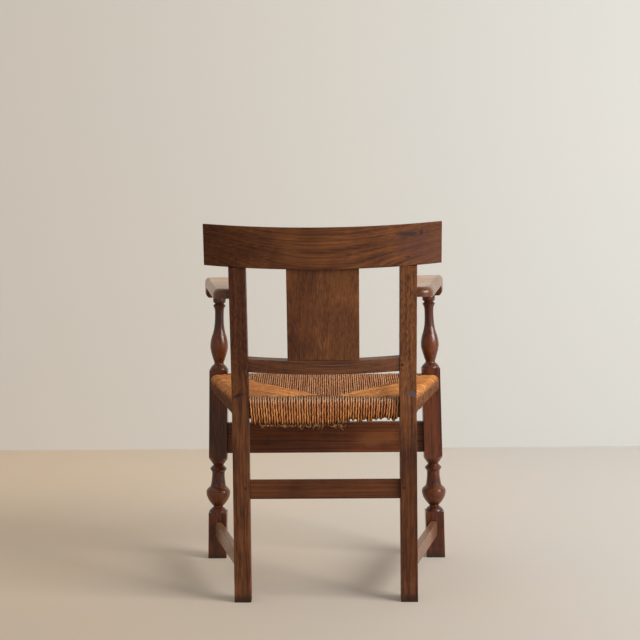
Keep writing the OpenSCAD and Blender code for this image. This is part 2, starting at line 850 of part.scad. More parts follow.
// A field over the front or rear rail: way is -1 for the front and 1 for the rear
module cross_field(corner_at, rail_y, way) {
    outer = way * (rail_y - middle_y) + seat_rail_thick / 2 + rush_thick;
    deep = way * (corner_at[1] - middle_y);
    places = spread(-corner_at[0], corner_at[0]);
    function place(x, p) = [x, middle_y + way * p[0], p[1]];
    function strand_at(i) =
        let (x = places[i], t = abs(x) / corner_at[0])
        [for (p = strand(half_seam + deep * t, outer, 1 - t, seat_rail_height, dip_at(i),
                         rush_belly * (1 - t * t)))
            place(x, p)];
    order = way < 0 ? [0 : len(places) - 1] : [len(places) - 1 : -1 : 0];
    last = len(places) - 1;
    field(
        [for (i = order) strand_at(i)],
        [for (p = tunnel(outer, seat_rail_height)) place(way < 0 ? places[0] : places[last], p)],
        [for (p = tunnel(outer, seat_rail_height)) place(way < 0 ? places[last] : places[0], p)]
    );
}

// A field over the left side rail
module side_field() {
    places = spread(seam_front[1], seam_rear[1]);
    last = len(places) - 1;
    function rail_x(y) =
        post_x + (side_rail_front_x - post_x) * (post_front_y - y) / (post_front_y - leg_rear_y);
    function outer(y) = rail_x(y) + seat_rail_thick / 2 + rush_thick;
    function seam_share(y) =
        (y - middle_y) / ((y < middle_y ? seam_front[1] : seam_rear[1]) - middle_y);
    function seam_x(y) = (y < middle_y ? seam_front[0] : seam_rear[0]) * seam_share(y);
    function place(y, p) = [p[0], y, p[1]];
    function strand_at(i) =
        let (y = places[i])
        [for (p = strand(half_seam + seam_x(y), outer(y), 1 - seam_share(y), side_rail_height,
                         dip_at(i), rush_hang * (y - places[0]) / (places[last] - places[0])))
            place(y, p)];
    field(
        [for (i = [0 : last]) strand_at(i)],
        [for (p = tunnel(outer(places[0]), side_rail_height)) place(places[0], p)],
        [for (p = tunnel(outer(places[last]), side_rail_height)) place(places[last], p)]
    );
}

module rush_front() {
    color(rush_grey) cross_field(seam_front, front_rail_y, -1);
}

module rush_rear() {
    color(rush_grey) cross_field(seam_rear, rear_rail_y, 1);
}

module rush_side(sign) {
    color(rush) on_side(sign) side_field();
}

module pegs_of_crest() {
    color(peg_oak) for (sign = [-1, 1]) on_side(sign) crest_peg();
}

module pegs_of_back_rail() {
    color(peg_oak) for (sign = [-1, 1]) on_side(sign) back_rail_peg();
}

module pegs_of_stretcher() {
    color(peg_oak) for (sign = [-1, 1]) on_side(sign) stretcher_peg();
}

rear_post(1);  // rear_post_left
rear_post(-1);  // rear_post_right
front_leg(1);  // front_leg_left
front_leg(-1);  // front_leg_right
crest_rail();
lower_back_rail();
back_splat();
arm(1);  // arm_left
arm(-1);  // arm_right
front_apron();
rear_stretcher();
side_stretcher(1);  // side_stretcher_left
side_stretcher(-1);  // side_stretcher_right
seat_rail_front();
seat_rail_rear();
seat_side_rail(1);  // seat_rail_left
seat_side_rail(-1);  // seat_rail_right
rush_front();
rush_rear();
rush_side(1);  // rush_left
rush_side(-1);  // rush_right
pegs_of_crest();  // crest_pegs
pegs_of_back_rail();  // back_rail_pegs
pegs_of_stretcher();  // stretcher_pegs
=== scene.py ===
import math

import bpy
from mathutils import Euler, Matrix, Vector


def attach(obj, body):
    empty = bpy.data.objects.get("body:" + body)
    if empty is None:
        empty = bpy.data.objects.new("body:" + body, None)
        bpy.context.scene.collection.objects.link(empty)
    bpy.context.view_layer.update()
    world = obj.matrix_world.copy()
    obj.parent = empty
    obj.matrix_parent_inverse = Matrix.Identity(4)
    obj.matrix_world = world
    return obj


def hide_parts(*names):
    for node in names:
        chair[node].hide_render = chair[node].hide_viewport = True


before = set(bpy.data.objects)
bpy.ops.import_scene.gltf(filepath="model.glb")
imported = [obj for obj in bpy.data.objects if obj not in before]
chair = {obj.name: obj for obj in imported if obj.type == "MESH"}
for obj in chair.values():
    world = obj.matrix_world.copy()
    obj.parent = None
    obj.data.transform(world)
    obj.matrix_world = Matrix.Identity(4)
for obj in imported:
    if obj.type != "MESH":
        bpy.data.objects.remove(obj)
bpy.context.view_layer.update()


# Rear posts. Each one is sawn from a single oak plank, straight below the seat and raked back above
# it. The oak is stained dark and waxed. It is rubbed paler along its arrises and dull at the foot.
class Wire:
    """A socket of a node tree. Sums that are written with wires add their Math nodes."""

    def __init__(self, tree, socket=None):
        self.tree = tree
        self.socket = socket

    def plug(self, node, sockets):
        """Sets the sockets of a node to their values, or links them to their wires."""
        for name, value in sockets.items():
            if isinstance(value, Wire):
                self.tree.links.new(value.socket, node.inputs[name])
            else:
                node.inputs[name].default_value = value

    def node(self, kind, settings=None, sockets=None, out=0):
        """Adds a node of any kind: its settings go in first, then its sockets' values or links."""
        made = self.tree.nodes.new(kind)
        for name, value in (settings or {}).items():
            setattr(made, name, value)
        self.plug(made, sockets or {})
        return Wire(self.tree, made.outputs[out])

    def math(self, operation, *others):
        sockets = dict(enumerate((self, *others)))
        return self.node("ShaderNodeMath", {"operation": operation}, sockets)

    def vector(self, operation, *others, out=0):
        sockets = dict(enumerate((self, *others)))
        return self.node("ShaderNodeVectorMath", {"operation": operation}, sockets, out)

    def scaled(self, by):
        return self.node("ShaderNodeVectorMath", {"operation": "SCALE"}, {0: self, "Scale": by})

    def length(self):
        return self.vector("LENGTH", out="Value")

    def dot(self, other):
        return self.vector("DOT_PRODUCT", other, out="Value")

    def part(self, axis):
        """One number of this vector: 0 is x, 1 is y and 2 is z."""
        return self.node("ShaderNodeSeparateXYZ", None, {0: self}, axis)

    def joined(self, x=0.0, y=0.0, z=0.0):
        """A vector in this wire's tree, made of three numbers."""
        return self.node("ShaderNodeCombineXYZ", None, {0: x, 1: y, 2: z})

    def ease(self, low, high, start=0.0, end=1.0):
        """Goes smoothly from start to end while this wire goes from low to high."""
        sockets = {"Value": self, "From Min": low, "From Max": high, "To Min": start, "To Max": end}
        return self.node("ShaderNodeMapRange", {"interpolation_type": "SMOOTHSTEP"}, sockets)

    def mix(self, share, start, end, blend="MIX"):
        """A colour that goes from start to end as share goes from 0 to 1."""
        start, end = [part if isinstance(part, Wire) else (*part, 1) for part in (start, end)]
        # The node has a pair of sockets for each kind of value, and 6 and 7 are the two colours
        settings = {"data_type": "RGBA", "blend_type": blend}
        return self.node("ShaderNodeMix", settings, {0: share, 6: start, 7: end}, out=2)

    def tint(self, share, other, blend="MIX"):
        """This colour with a share of another one over it."""
        return self.mix(share, self, other, blend)

    def dimmed(self, by):
        """This colour times a number."""
        grey = self.node("ShaderNodeCombineColor", None, {0: by, 1: by, 2: by})
        return self.tint(1.0, grey, "MULTIPLY")

    def __add__(self, other):
        return self.math("ADD", other)

    def __sub__(self, other):
        return self.math("SUBTRACT", other)

    def __rsub__(self, other):
        return self.node("ShaderNodeMath", {"operation": "SUBTRACT"}, {0: other, 1: self})

    def __mul__(self, other):
        return self.math("MULTIPLY", other)

    def __truediv__(self, other):
        return self.math("DIVIDE", other)

    __radd__ = __add__
    __rmul__ = __mul__


def new_finish(name):
    """A material with a plain principled shader, as the start of its node tree."""
    finish = bpy.data.materials.new(name)
    finish.use_nodes = True
    return finish, Wire(finish.node_tree), finish.node_tree.nodes["Principled BSDF"]


def speckle(tree, place, size, detail=2.0, roughness=0.5, out="Fac"):
    """Noise from 0 to 1 around each place. As a colour it is three numbers and not one."""
    sockets = {"Vector": place, "Scale": size, "Detail": detail, "Roughness": roughness}
    return tree.node("ShaderNodeTexNoise", None, sockets, out)


def strayed(tree, place, size, detail, reach):
    """A shift that is different at each place, by half the reach at most to each side."""
    noise = speckle(tree, place, size, detail, out="Color")
    return noise.vector("SUBTRACT", (0.5, 0.5, 0.5)).scaled(reach)


GRAIN_TURNS = {"X": (0, -math.pi / 2, 0), "Y": (math.pi / 2, 0, 0), "Z": (0, 0, 0)}
LOG_STEP = 1.7
WAX_AND_SHADE = (0.010, 0.004, 0.003)
FLOOR_DIRT = (0.016, 0.009, 0.006)
WARM_DUST = (1.0, 0.66, 0.42, 1)


def wood(name, grain, pith, plank, colours, ring=0.0042, figure=0.25, streaks=1.5, pores=0.0,
         wild=0.012, gloss=0.44, varnish=0.0, dust=0.0, rubbed=(), marks=(), foot=0.0):
    """Solid wood: rings round a pith that runs along the grain, and streaks that follow them.

    plank tells one board from another. colours are the dark wood, the warm wood and the rubbed
    wood. ring is the width of a year's growth, and wild is how far the grain wanders. figure,
    streaks and pores are how strongly the rings, the long streaks and the short pores show.
    rubbed lists heights between which hands or the lathe left the wood warmer. dust is how much
    of a warm bloom lies on the wax. marks are shades and spots. foot is how high the dull foot
    goes.
    """
    finish, tree, shader = new_finish(name)
    dark, warm, worn = colours
    place = tree.node("ShaderNodeTexCoord", out="Object")
    # The log stands upright on its pith, and each board has a stretch of it to itself
    turn = Euler(GRAIN_TURNS[grain])
    heart = turn.to_matrix() @ Vector(pith)
    log = tree.node("ShaderNodeMapping", {"vector_type": "POINT"}, {
        "Vector": place, "Location": (-heart.x, -heart.y, plank * LOG_STEP),
        "Rotation": tuple(turn)})
    slow = log.vector("MULTIPLY", (1, 1, 0.16))
    bent = log.vector("ADD", strayed(tree, slow, size=9.0, detail=2.0, reach=wild))
    radius = bent.vector("MULTIPLY", (1, 1, 0)).length()
    year = speckle(tree, tree.joined(radius, plank), size=60.0, detail=1.0)
    growth = (radius / ring + year * 1.6).math("FRACT")
    porous = growth.ease(0.12, 0.60, 1.0, 0.0) * growth.ease(0.0, 0.14)
    # Streaks are drawn over the rings and slowly along them, so that they follow every curve
    figured = tree.joined(radius, bent.part(2) * 0.032, plank)
    streak = speckle(tree, figured, size=120.0, detail=3.0, roughness=0.6)

    def strands(stretch, size, detail, roughness=0.5):
        """Noise that is drawn out along the grain, the more the smaller the stretch."""
        return speckle(tree, bent.vector("MULTIPLY", (1, 1, stretch)), size, detail, roughness)

    fibre = strands(0.014, size=300.0, detail=3.0, roughness=0.65)
    pore = strands(0.060, size=400.0, detail=2.0, roughness=0.6)
    vessels = strands(0.022, size=950.0, detail=1.0).ease(0.56, 0.70) * (porous * 0.7 + 0.3)
    own_place = place.vector("ADD", (plank, 0, 0))
    blotch = speckle(tree, own_place, size=11.0, detail=3.0, roughness=0.55)
    share = ((streak - 0.5) * streaks + (fibre - 0.5) + (blotch - 0.5) * 1.5
             + (pore - 0.5) * pores - (porous - 0.35) * figure + 0.5)
    colour = tree.mix(share, dark, warm)
    colour = colour.dimmed(fibre.ease(0.25, 0.75, 0.84, 1.16) * (1 - vessels * 0.38))
    height = place.part(2)
    fade = 0.02
    for low, high, strength in rubbed:
        band = height.ease(low, low + fade) * height.ease(high - fade, high, 1.0, 0.0)
        colour = colour.tint(band * strength * streak.ease(0.3, 0.7, 0.6, 1.2), worn)
    # Rubbed arrises: where a rounded normal leaves the face's own
    rounded = tree.node("ShaderNodeBevel", {"samples": 4}, {"Radius": 0.0018})
    own = tree.node("ShaderNodeNewGeometry", out="Normal")
    rub = speckle(tree, place, size=38.0, detail=3.0, roughness=0.6)
    arris = (1 - rounded.dot(own)).ease(0.02, 0.2) * rub.ease(0.40, 0.66)
    colour = colour.tint(arris * 0.4, worn)
    # Where little is open round them, the joints and the turned grooves are darkened: partly old
    # wax and dust that stay there, partly painted shade
    openness = tree.node("ShaderNodeAmbientOcclusion", {"samples": 6}, {"Distance": 0.006}, "AO")
    colour = colour.tint(openness.ease(0.35, 0.80, 0.85, 0.0), WAX_AND_SHADE)
    for centre, reach, strength, tone, lean, blend in marks:
        off = place.vector("SUBTRACT", centre)
        off = tree.node("ShaderNodeVectorRotate", {"rotation_type": "Y_AXIS"}, {
            "Vector": off, "Angle": -math.radians(lean)})
        far = off.vector("DIVIDE", reach).length() + (rub - 0.5) * 0.7
        colour = colour.tint(far.ease(0.35, 1.0, strength, 0.0), tone, blend)
    if foot:
        dull = (height + (rub - 0.5) * 0.02).ease(0.0, foot, 0.8, 0.0)
        colour = colour.tint(dull, FLOOR_DIRT)
    rough = blotch.ease(0.3, 0.7, gloss - 0.05, gloss + 0.07) + vessels * 0.15
    relief = fibre * 0.35 - vessels * 0.8 - porous * 0.25
    tree.plug(shader, {
        "Base Color": colour, "Roughness": rough, "Specular IOR Level": 0.22,
        "Normal": tree.node("ShaderNodeBump", None, {
            "Strength": 0.3, "Distance": 0.0005, "Height": relief}),
        "Coat Weight": varnish, "Coat Roughness": 0.16,
        "Sheen Weight": dust, "Sheen Roughness": 0.35, "Sheen Tint": WARM_DUST})
    return finish


def shade(centre, reach, strength, colour, lean=0):
    """A mark that darkens the colour round a centre; some are darker patches of the wood, some
    are painted shade. lean turns it by so many degrees.
    """
    return centre, reach, strength, colour, lean, "MULTIPLY"


def spot(centre, reach, strength, colour, lean=0):
    """A mark that covers the wood with another colour: a stain, a worn patch or figure of the
    wood, or painted light.
    """
    return centre, reach, strength, colour, lean, "MIX"


OAK = ((0.052, 0.0160, 0.0072), (0.152, 0.0500, 0.0145), (0.235, 0.0980, 0.0380))


def stained(by, red=1.0):
    """The same oak under a lighter or darker stain."""
    return [(part[0] * by * red, part[1] * by, part[2] * by / red) for part in OAK]


def finished(node, finish):
    """Gives a piece of the chair its finish, in place of what the frame came with."""
    for slot in chair[node].material_slots:
        slot.material = finish


# At the kink a wedge is painted across each rear face for the light that a small facet there
# would catch: painted shade on the left post, a bluish grey painted reflection on the right one.
# The left post is darker high up and the right one low down, and the wood is darker round the
# pegs of the lower back rail
PLUM = (0.50, 0.42, 0.50)
finished("rear_post_left", wood(
    "oak of left rear post", grain="Z", pith=(0.36, 0.20, 0), plank=1.0,
    colours=stained(1.04, 0.97), ring=0.0032, streaks=2.3, pores=2.4, wild=0.03, foot=0.030,
    marks=[shade((0.19, 0.25, 0.70), (0.10, 0.20, 0.26), 0.9, (0.66, 0.58, 0.66)),
           spot((0.194, 0.189, 0.4690), (0.017, 0.03, 0.0050), 0.8, (0.020, 0.007, 0.008),
                lean=26),
           shade((0.178, 0.205, 0.5350), (0.006, 0.03, 0.007), 0.6, PLUM)]))
finished("rear_post_right", wood(
    "oak of right rear post", grain="Z", pith=(-0.35, 0.21, 0), plank=2.0,
    colours=stained(1.74, 0.90), ring=0.0032, streaks=2.1, pores=2.0, wild=0.03, foot=0.026,
    marks=[shade((-0.19, 0.18, 0.20), (0.10, 0.10, 0.32), 1.0, (0.50, 0.42, 0.38)),
           spot((-0.1955, 0.189, 0.4712), (0.022, 0.03, 0.0070), 0.85, (0.092, 0.078, 0.092),
                lean=-16),
           shade((-0.174, 0.205, 0.5375), (0.006, 0.03, 0.006), 0.6, PLUM)]))


# Front legs. Each is one turned piece: the lathe left the acorn and the vase smoother and warmer
# than the blocks, whose faces are planed. They are varnished, and the pith runs off the middle.
for side, sign in (("left", 1), ("right", -1)):
    finished(f"front_leg_{side}", wood(
        f"oak of {side} front leg", grain="Z", pith=(sign * 0.262, -0.270, 0),
        plank=3.0 + sign * 0.4, colours=stained(0.56, 1.52), ring=0.0036, streaks=3.0,
        pores=2.8, wild=0.014, gloss=0.36, varnish=0.50, foot=0.022,
        rubbed=[(0.130, 0.190, 0.50), (0.498, 0.560, 0.30)],
        # The top of each vase, just below the arm, is darker and purplish, and the outer edge of
        # each block's rear face is painted darker as shade
        marks=[shade((sign * 0.272, -0.245, 0.612), (0.1, 0.1, 0.055), 1.0, (0.62, 0.62, 0.9)),
               shade((sign * 0.289, -0.245, 0.40), (0.0075, 0.1, 0.16), 0.85,
                     (0.42, 0.40, 0.42))]))


# Stretchers and apron. They are straight boards, planed and tenoned into the legs and posts. The
# side stretchers are dusty on top, and a paler patch is worn into the apron's stain.
finished("rear_stretcher", wood(
    "oak of rear stretcher", grain="X", pith=(0, 0.05, 0.30), plank=5.0,
    colours=stained(0.86, 1.08), ring=0.004))
finished("front_apron", wood(
    "oak of apron", grain="X", pith=(0, -0.17, 0.24), plank=6.0, colours=stained(0.90, 1.22),
    ring=0.006, wild=0.022, varnish=0.15,
    marks=[spot((-0.13, -0.24, 0.300), (0.075, 0.1, 0.026), 0.55, (0.230, 0.080, 0.026),
                lean=4)]))
for side, sign in (("left", 1), ("right", -1)):
    finished(f"side_stretcher_{side}", wood(
        f"oak of {side} stretcher", grain="Y", pith=(sign * 0.17, 0, 0.03), plank=7.0 + sign,
        colours=stained(1.25, 1.05), ring=0.004, gloss=0.36, varnish=0.40, dust=0.26))


# The back. The crest and the rail below it are sawn to a bow from thick boards, so the straight
# grain shows on them as long smiling curves. The splat is one flat board, its figure upright.
finished("lower_back_rail", wood(
    "oak of lower back rail", grain="X", pith=(0, 0.13, 0.44), plank=9.0,
    colours=stained(1.14), ring=0.0045, streaks=2.0, wild=0.02, varnish=0.35,
    marks=[shade((-0.11, 0.18, 0.50), (0.11, 0.1, 0.06), 0.8, (0.78, 0.80, 0.85)),
           shade((0.17, 0.18, 0.50), (0.020, 0.1, 0.06), 0.9, PLUM),
           shade((-0.17, 0.18, 0.50), (0.020, 0.1, 0.06), 0.9, PLUM)]))
FLAME = (0.185, 0.068, 0.025)
finished("back_splat", wood(
    "oak of splat", grain="Z", pith=(-0.19, 0.13, 0), plank=10.0,
    colours=stained(1.36, 0.92), ring=0.0045, figure=0.15, streaks=1.0,
    marks=[shade((0.055, 0.22, 0.66), (0.045, 0.1, 0.20), 0.8, (0.78, 0.70, 0.74)),
           spot((0.0075, 0.22, 0.587), (0.0040, 0.1, 0.024), 0.9, FLAME, lean=14),
           spot((-0.0030, 0.22, 0.586), (0.0034, 0.1, 0.024), 0.9, FLAME, lean=-9),
           spot((-0.0110, 0.22, 0.592), (0.0034, 0.1, 0.032), 0.8, FLAME, lean=-8)]))
finished("crest_rail", wood(
    "oak of crest rail", grain="X", pith=(0, 0.17, 0.735), plank=11.0,
    colours=stained(1.20, 0.98), ring=0.0060, streaks=2.4, wild=0.020, gloss=0.42,
    # The left end is painted darker as shade and the right end purplish as a painted sheen; the
    # small dark spots near the right end are stains
    marks=[shade((0.250, 0.24, 0.81), (0.15, 0.15, 0.12), 1.0, (0.66, 0.58, 0.50)),
           spot((-0.235, 0.25, 0.80), (0.10, 0.1, 0.06), 0.6, (0.085, 0.031, 0.022)),
           spot((-0.1836, 0.262, 0.8300), (0.028, 0.05, 0.0078), 0.85, (0.026, 0.016, 0.019),
                lean=3),
           spot((-0.2149, 0.255, 0.8325), (0.0060, 0.05, 0.008), 0.85, (0.026, 0.014, 0.018),
                lean=-15),
           spot((-0.1861, 0.250, 0.7775), (0.009, 0.05, 0.005), 0.7, (0.034, 0.015, 0.015))]))


# Arms. Each is a board rounded along its edges, with a thick hand grip worn smooth at the front.
# A warm bloom of dust and polish lies on the top, and the underside is painted darker as shade.
for side, sign in (("left", 1), ("right", -1)):
    finished(f"arm_{side}", wood(
        f"oak of {side} arm", grain="Y", pith=(sign * 0.255, 0, 0.60), plank=13.0 + sign,
        colours=stained(1.15), ring=0.005, gloss=0.32, varnish=0.35, dust=0.34,
        marks=[shade((sign * 0.27, -0.05, 0.668), (0.09, 0.35, 0.022), 1.0, (0.60, 0.54, 0.54))]))


# Pegs. Dark oak pins, driven through the posts and the crest and cut off flush, so that they show
# their end grain.
peg_oak = wood("end grain of pegs", grain="Y", pith=(0, 0, 0), plank=16.0,
               colours=stained(0.62), ring=0.0016)
for node in ("crest_pegs", "back_rail_pegs", "stretcher_pegs"):
    finished(node, peg_oak)


# Seat rails. Four bare sawn ash rails, tenoned into the legs and posts. The rush is wound round
# them and hides all but their ends.
ASH = ((0.50, 0.37, 0.23), (0.33, 0.22, 0.13), (0.58, 0.46, 0.32))
for name, grain, plank in (("front", "X", 17.0), ("rear", "X", 18.0),
                           ("left", "Y", 19.0), ("right", "Y", 20.0)):
    finished(f"seat_rail_{name}", wood(
        f"ash of {name} seat rail", grain, pith=(0, 0, 0.40), plank=plank, colours=ASH,
        ring=0.003, gloss=0.6))


# The rush seat. One cord of twisted rush goes over a rail, round it and back below, then over the
# next one. The rows meet at diagonal seams and sag to the middle of the seat.
def new_tree(name, sizes):
    """An empty tree that makes a mesh, with a named input for each size and for the finish."""
    tree = bpy.data.node_groups.new(name, "GeometryNodeTree")
    tree.is_modifier = True
    for kind, names in {**sizes, "NodeSocketMaterial": ["Finish"]}.items():
        for size in names:
            tree.interface.new_socket(size, in_out="INPUT", socket_type=kind)
    tree.interface.new_socket("Mesh", in_out="OUTPUT", socket_type="NodeSocketGeometry")
    given = tree.nodes.new("NodeGroupInput")
    return Wire(tree), {socket.name: Wire(tree, socket) for socket in given.outputs}


def swept(wire, curves, section, thickness, finish):
    """Ends a tree: a section swept along its curves, as plain mesh with its finish."""
    mesh = wire.node("GeometryNodeCurveToMesh", None, {
        "Curve": curves, "Profile Curve": section, "Scale": thickness, "Fill Caps": True})
    mesh = wire.node("GeometryNodeRealizeInstances", None, {"Geometry": mesh})
    mesh = wire.node("GeometryNodeSetMaterial", None, {"Geometry": mesh, "Material": finish})
    wire.plug(wire.tree.nodes.new("NodeGroupOutput"), {"Mesh": mesh})


def round_section(wire, sides):
    """A circle with a radius of 1, to be swept along curves."""
    return wire.node("GeometryNodeCurvePrimitiveCircle", {"mode": "RADIUS"},
                     {"Resolution": sides, "Radius": 1.0})


def chance(wire, low, high, which, seed):
    """A random number between low and high for each curve."""
    # Sockets 2 and 3 are the limits of a single number, which comes out of the second output
    return wire.node("FunctionNodeRandomValue", {"data_type": "FLOAT"}, {
        2: low, 3: high, "ID": which, "Seed": seed}, out=1)


def rush_tree():
    """A field of rush: rows of twisted cord over one rail, from the seams and back."""
    wire, given = new_tree("rush field", {
        "NodeSocketInt": ["Rows", "Seed"],
        "NodeSocketVector": ["Along", "Out", "Middle"],
        "NodeSocketFloat": [
            "First", "Last", "Seam at First", "Seam at Last", "Rail at First", "Rail at Last",
            "Top", "Bottom", "Hang", "Belly", "Slump", "Slump At", "Ragged", "Gather", "Sag",
            "Sag Below", "Wrap", "Cord Radius", "Lay", "Wander", "Lift"]})

    def between(first, last, share):
        return given[first] + (given[last] - given[first]) * share

    # Seven points for each row: under the seam, the seam, the shelf before the rail, the rail's two
    # outer corners, and the way back below
    turns = 7
    points = wire.node("GeometryNodePoints", None, {"Count": given["Rows"] * turns})
    index = wire.node("GeometryNodeInputIndex")
    row = (index / turns).math("FLOOR")
    stop = index - row * turns
    share_of_rows = (row + 0.5) / given["Rows"]
    at = between("First", "Last", share_of_rows)
    rail = between("Rail at First", "Rail at Last", share_of_rows)
    # The seams run straight from the seat's inner corners to its middle, where the rows sag most
    past_middle = at.math("GREATER_THAN", 0.0)
    share_of_seam = at / between("First", "Last", past_middle)
    seam = between("Seam at First", "Seam at Last", past_middle) * share_of_seam
    depth = 1 - share_of_seam
    bowl = 0.25
    sagged = depth * (1 + bowl - depth * bowl)
    # The rush lies higher towards the sitter's left
    radius = given["Cord Radius"]
    over_rail = given["Middle"].vector("ADD", given["Along"].scaled(at))
    over_rail = over_rail.vector("ADD", given["Out"].scaled(rail))
    to_left = over_rail.part(0).math("MAXIMUM", 0.0)
    top = given["Top"] - radius + to_left * given["Lift"]
    # The rows hang lower in the middle, slump at one place, and each ends at a height of its own
    ragged = wire.node("ShaderNodeTexWhiteNoise", {"noise_dimensions": "2D"}, {
        "Vector": wire.joined(row, given["Seed"])}) - 0.5
    off_middle = (share_of_rows - 0.5) * 2
    slump_near, slump_far = 0.080, 0.120
    from_slump = (at - given["Slump At"]).math("ABSOLUTE")
    slump = from_slump.ease(slump_near, slump_far, 1.0, 0.0)
    low = (given["Bottom"] + radius - given["Hang"] * share_of_rows
           - given["Belly"] * (1 - off_middle * off_middle)
           - given["Slump"] * slump + given["Ragged"] * ragged)
    tucked_in, tucked_down, shelf_dip = 0.001, 0.007, 0.0015
    shelf_share, return_share = 0.62, 0.86
    shelf = seam + (rail - seam) * shelf_share
    face = rail - radius
    seam_top = top - given["Sag"] * sagged
    out_at = [seam - tucked_in, seam, shelf, face, face, rail * return_share, seam]
    high_at = [seam_top - tucked_down, seam_top, top - shelf_dip, top, low, low,
               low - given["Sag Below"] * sagged]

    def chosen(values):
        """The value for this point of the row."""
        total = values[0] * stop.math("COMPARE", 0.0, 0.1)
        for number, value in enumerate(values[1:], 1):
            total = total + value * stop.math("COMPARE", float(number), 0.1)
        return total

    # Below the rail the rows draw together towards the middle
    last_on_top = 3
    below = stop.math("GREATER_THAN", last_on_top + 0.5)
    gathered = 1 - below * given["Gather"]
    place = given["Middle"].vector("ADD", given["Along"].scaled(at * gathered))
    place = place.vector("ADD", given["Out"].scaled(chosen(out_at)))
    place = place.vector("ADD", wire.joined(z=chosen(high_at)))
    points = wire.node("GeometryNodeSetPosition", None, {"Geometry": points, "Position": place})
    cords = wire.node("GeometryNodePointsToCurves", None, {"Points": points, "Curve Group ID": row})
    corner_steps, step_length = 5, 0.0042
    cords = wire.node("GeometryNodeFilletCurve", {"mode": "POLY"}, {
        "Curve": cords, "Count": corner_steps, "Radius": given["Wrap"], "Limit Radius": True})
    cords = wire.node("GeometryNodeResampleCurve", {"mode": "LENGTH"},
                      {"Curve": cords, "Length": step_length})

    def noted(geometry, name, value, kind="FLOAT", domain="POINT"):
        """Leaves a value on the geometry, for the finish to read."""
        return wire.node("GeometryNodeStoreNamedAttribute", {"data_type": kind, "domain": domain}, {
            "Geometry": geometry, "Name": name, "Value": value})

    tone = chance(wire, 0.0, 1.0, wire.node("GeometryNodeInputIndex"), given["Seed"])
    cords = noted(cords, "tone", tone, domain="CURVE")
    tone = wire.node("GeometryNodeInputNamedAttribute", {"data_type": "FLOAT"}, {"Name": "tone"})
    length = wire.node("GeometryNodeSplineParameter", out="Length")
    cords = noted(cords, "along", length)
    # No row lies quite straight or is evenly thick, and each is twisted on its own
    where = wire.node("GeometryNodeInputPosition")
    own = where.vector("ADD", wire.joined(tone * 9, tone * 31, tone * 17))
    drift = strayed(wire, own, size=15.0, detail=1.0, reach=given["Wander"])
    cords = wire.node("GeometryNodeSetPosition", None, {"Geometry": cords, "Offset": drift})
    swell = speckle(wire, own, size=45.0, detail=1.0).ease(0.25, 0.75, 0.92, 1.10)
    side_z, top_z = 0.445, 0.455
    crowded = where.part(2).ease(side_z, top_z, 1.0, 1.12)
    full_turn = 2 * math.pi
    twist = length / given["Lay"] * full_turn + tone * full_turn
    cords = wire.node("GeometryNodeSetCurveTilt", None, {"Curve": cords, "Tilt": twist})
    # The cord's section: two leaves laid together, so a little flat
    section = round_section(wire, sides=10)
    at_section = wire.node("GeometryNodeInputPosition")
    aside = at_section.part(0)
    section = noted(section, "section", at_section, kind="FLOAT_VECTOR")
    flat, wide = 0.92, 0.16
    section = wire.node("GeometryNodeSetPosition", None, {
        "Geometry": section, "Position": at_section.scaled(aside * aside * wide + flat)})
    swept(wire, cords, section, radius * swell * crowded, given["Finish"])
    return wire.tree


